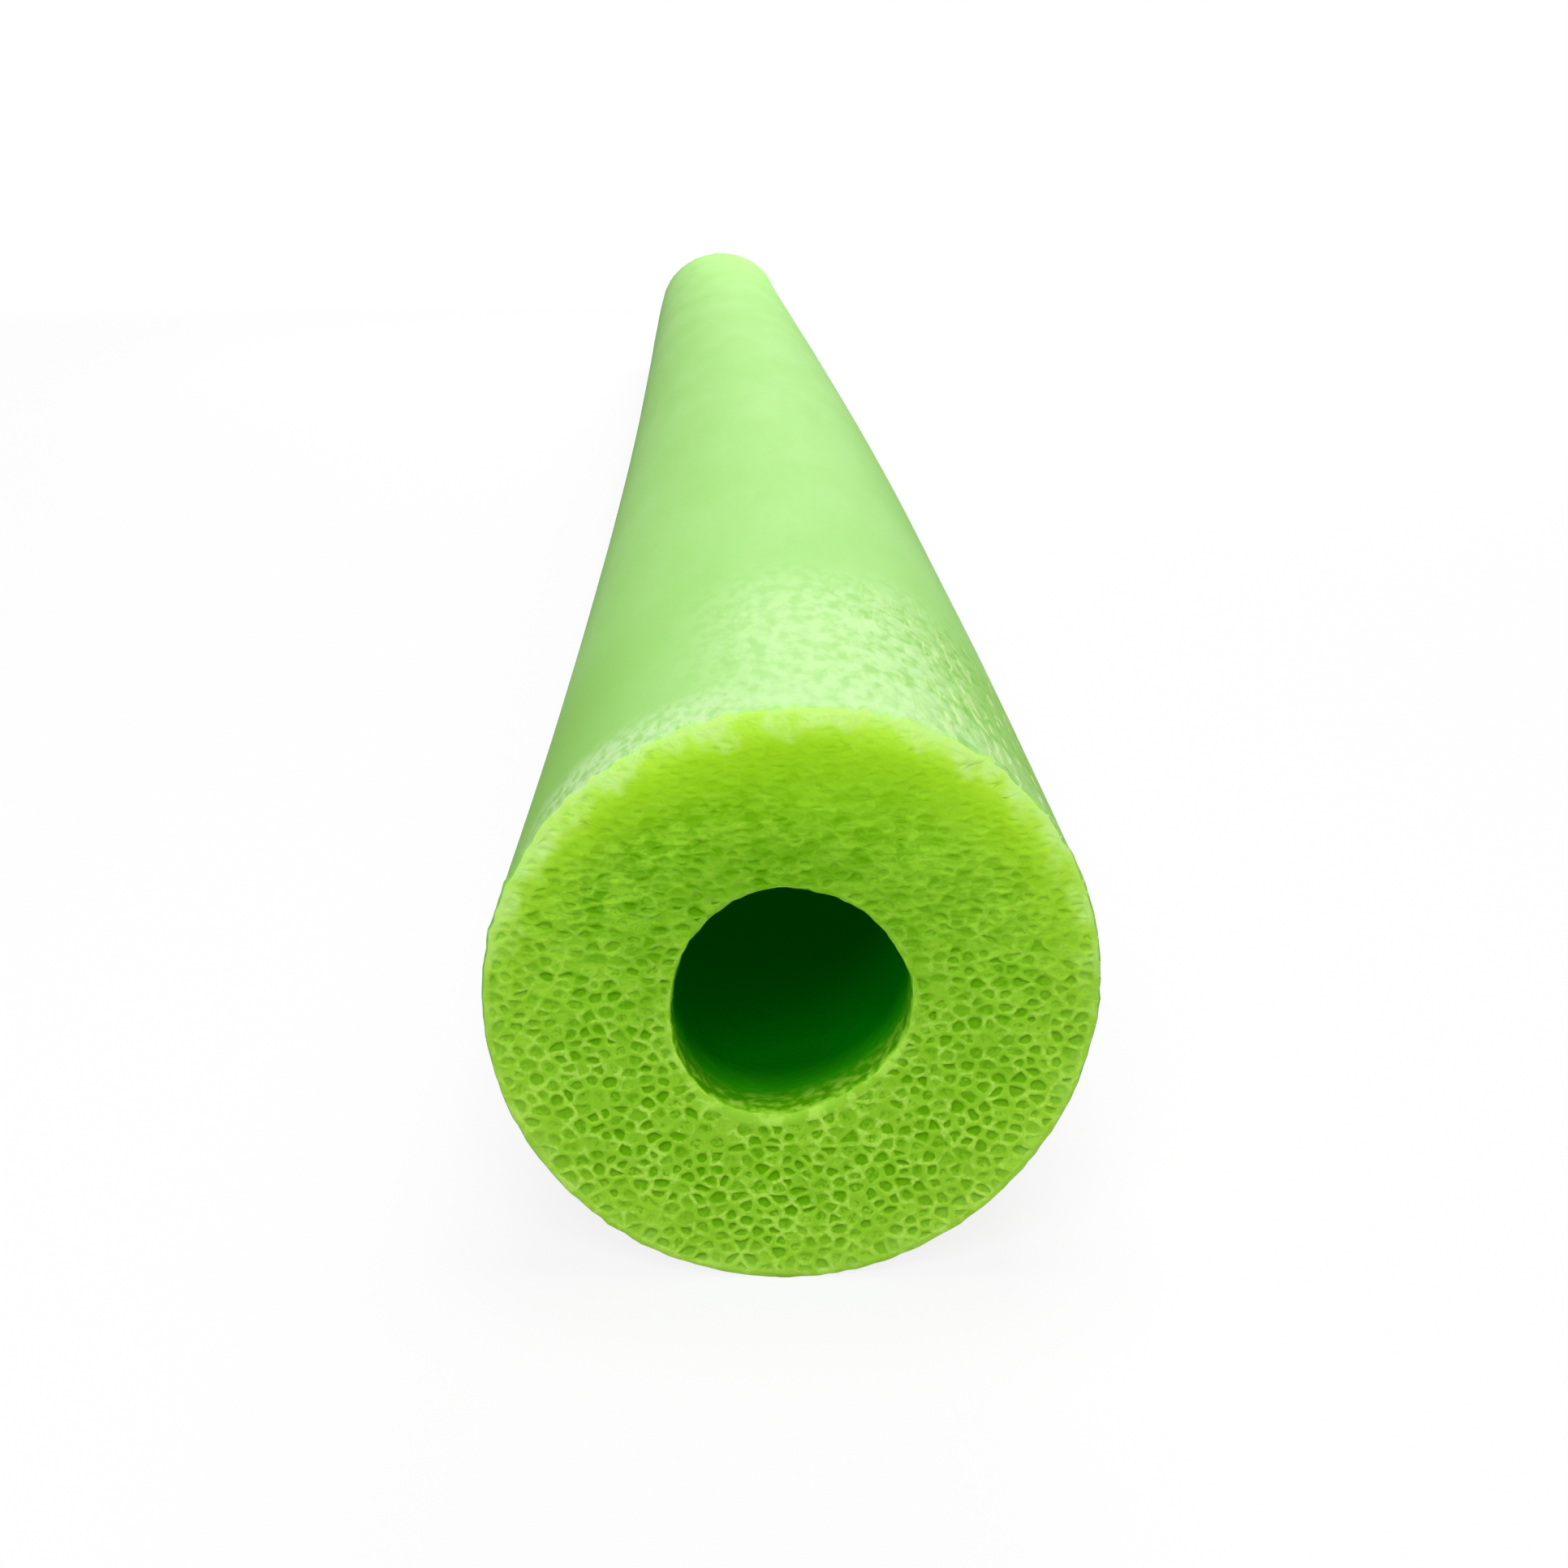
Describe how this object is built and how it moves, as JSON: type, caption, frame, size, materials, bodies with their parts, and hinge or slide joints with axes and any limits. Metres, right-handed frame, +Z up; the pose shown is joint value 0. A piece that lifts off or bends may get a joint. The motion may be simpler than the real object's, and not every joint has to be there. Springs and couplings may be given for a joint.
{
  "type": "pool noodle",
  "caption": "Long round tube of soft closed-cell foam with a hollow through its middle, cut square at both ends; floats a swimmer.",
  "frame": {"origin": "on the surface that the noodle lies on, below the middle of its bounding box", "axes": "+Y along the tube from the near cut to the far cut, +Z up from the surface it lies on, +X towards the side that its slight bow swings to"},
  "size_m": [0.069, 1.2006, 0.064],
  "materials": {
    "polyethylene_foam": "satin skin over closed-cell foam, open cells at the two cuts"
  },
  "bodies": {
    "root": {"foam_tube": "polyethylene_foam"}
  },
  "joints": []
}
